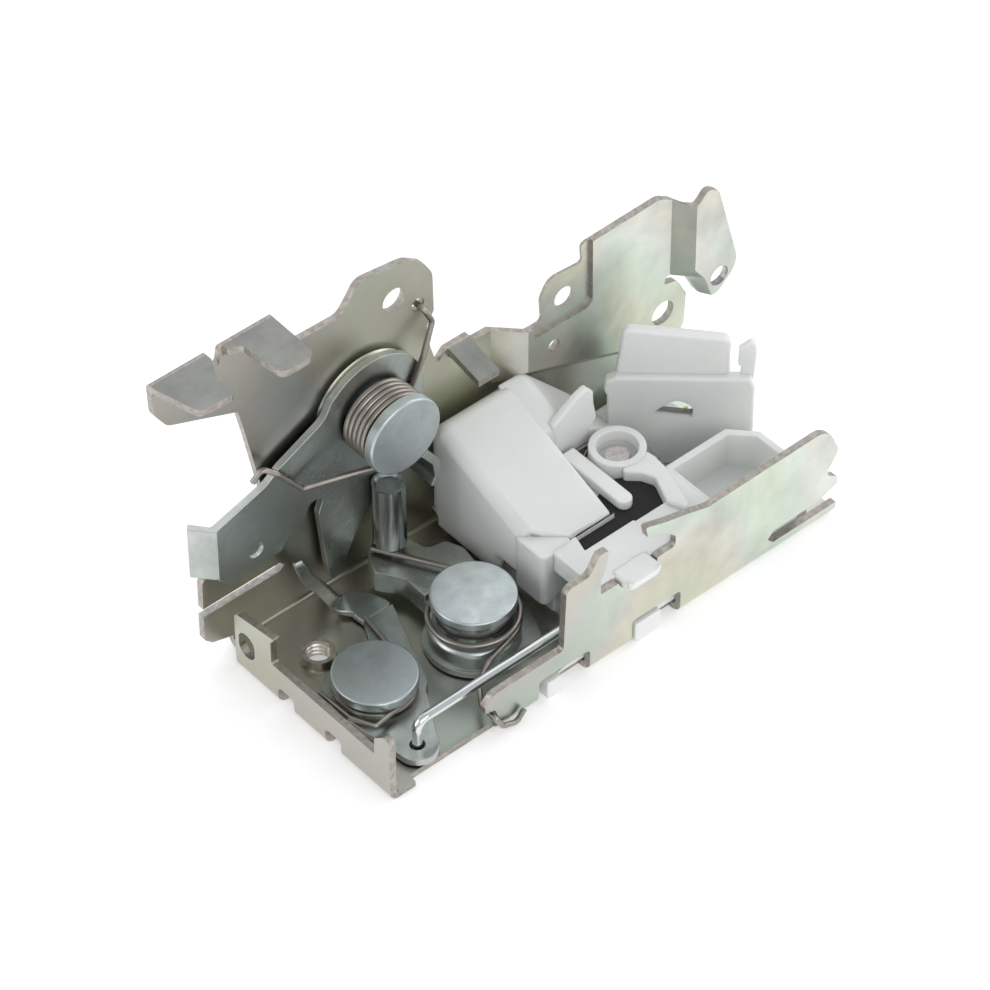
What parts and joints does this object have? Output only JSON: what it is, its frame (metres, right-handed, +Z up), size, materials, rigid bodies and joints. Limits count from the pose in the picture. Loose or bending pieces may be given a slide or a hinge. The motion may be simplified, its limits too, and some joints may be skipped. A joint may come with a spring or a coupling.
{
  "type": "door latch actuator",
  "caption": "Door latch actuator linkage: pressed steel tray with sprung levers on broad rivets, a wire rod and a white nylon worm-drive housing.",
  "frame": {"origin": "axis of the tapped mounting hole, at the underside of the tray's floor", "axes": "+X along the tray's length, +Y towards the tall back wall, +Z up from the floor"},
  "size_m": [0.1333, 0.0528, 0.0766],
  "materials": {
    "bracket_steel": "satin",
    "zinc_lever": "satin",
    "rivet_steel": "brushed",
    "spring_wire": "satin",
    "bright_wire": "polished",
    "pin_steel": "polished",
    "natural_nylon": "satin",
    "acetal": "satin",
    "black_foam": "matte",
    "motor_can": "satin",
    "brass": "satin"
  },
  "bodies": {
    "frame": {"main_bracket": "bracket_steel", "link_pivot_rivet": "rivet_steel", "lockout_pivot_rivet": "rivet_steel", "release_pivot_rivet": "rivet_steel", "lock_pivot_pin": "rivet_steel", "lockout_bush": "acetal", "release_bush": "acetal", "link_spring": "spring_wire", "lockout_spring": "spring_wire", "release_spring": "spring_wire", "lock_spring": "spring_wire", "housing_base": "natural_nylon", "drive_cover": "natural_nylon", "connector_block": "natural_nylon", "foam_pad": "black_foam", "motor": "motor_can", "worm_end_bearing": "brass", "connector_pins": "brass"},
    "rod": {"link_rod": "bright_wire", "rod_retainer": "acetal"},
    "link": {"link_lever": "zinc_lever"},
    "lockout": {"lockout_lever": "zinc_lever", "transfer_pin": "pin_steel"},
    "release": {"release_lever": "zinc_lever"},
    "lock": {"lock_lever": "acetal", "worm_wheel": "acetal"},
    "worm": {"motor_shaft_worm": "brass"}
  },
  "joints": [
    {"name": "release_pivot", "type": "hinge", "parent": "frame", "child": "release", "pos_m": [0.0236, 0.012, 0.0426], "axis": [0, 1, 0], "range_deg": [0, 20], "stiffness_Nm_per_rad": 0.04, "springref_deg": -34.38, "deforming": ["release_spring"]},
    {"name": "lockout_pivot", "type": "hinge", "parent": "frame", "child": "lockout", "pos_m": [0.0245, -0.0157, 0.0026], "axis": [0, 0, 1], "range_deg": [0, 14], "deforming": ["lockout_spring"]},
    {"name": "lock_pivot", "type": "hinge", "parent": "frame", "child": "lock", "pos_m": [0.0664, -0.0086, 0.0109], "axis": [0, 0, 1], "range_deg": [0, 11.31], "stiffness_Nm_per_rad": 0.01, "springref_deg": -17.19, "deforming": ["lock_spring"]},
    {"name": "rod_slide", "type": "slide", "parent": "frame", "child": "rod", "axis": [1, 0, 0], "range_m": [0, 0.00415]},
    {"name": "link_pivot", "type": "hinge", "parent": "frame", "child": "link", "pos_m": [0.0021, -0.0139, 0.0026], "axis": [0, 0, 1], "range_deg": [0, 15.05], "deforming": ["link_spring"]},
    {"name": "worm_turn", "type": "hinge", "parent": "frame", "child": "worm", "pos_m": [0.062, 0.0001, 0.0109], "axis": [1, 0, 0], "range_deg": [0, 226.3]}
  ],
  "couplings": [
    {"joint": "lockout_pivot", "follows": "release_pivot", "ratio": 0.7},
    {"joint": "rod_slide", "follows": "lock_pivot", "m_per_rad": 0.020973},
    {"joint": "link_pivot", "follows": "lock_pivot", "ratio": 1.3263},
    {"joint": "worm_turn", "follows": "lock_pivot", "ratio": 20}
  ]
}
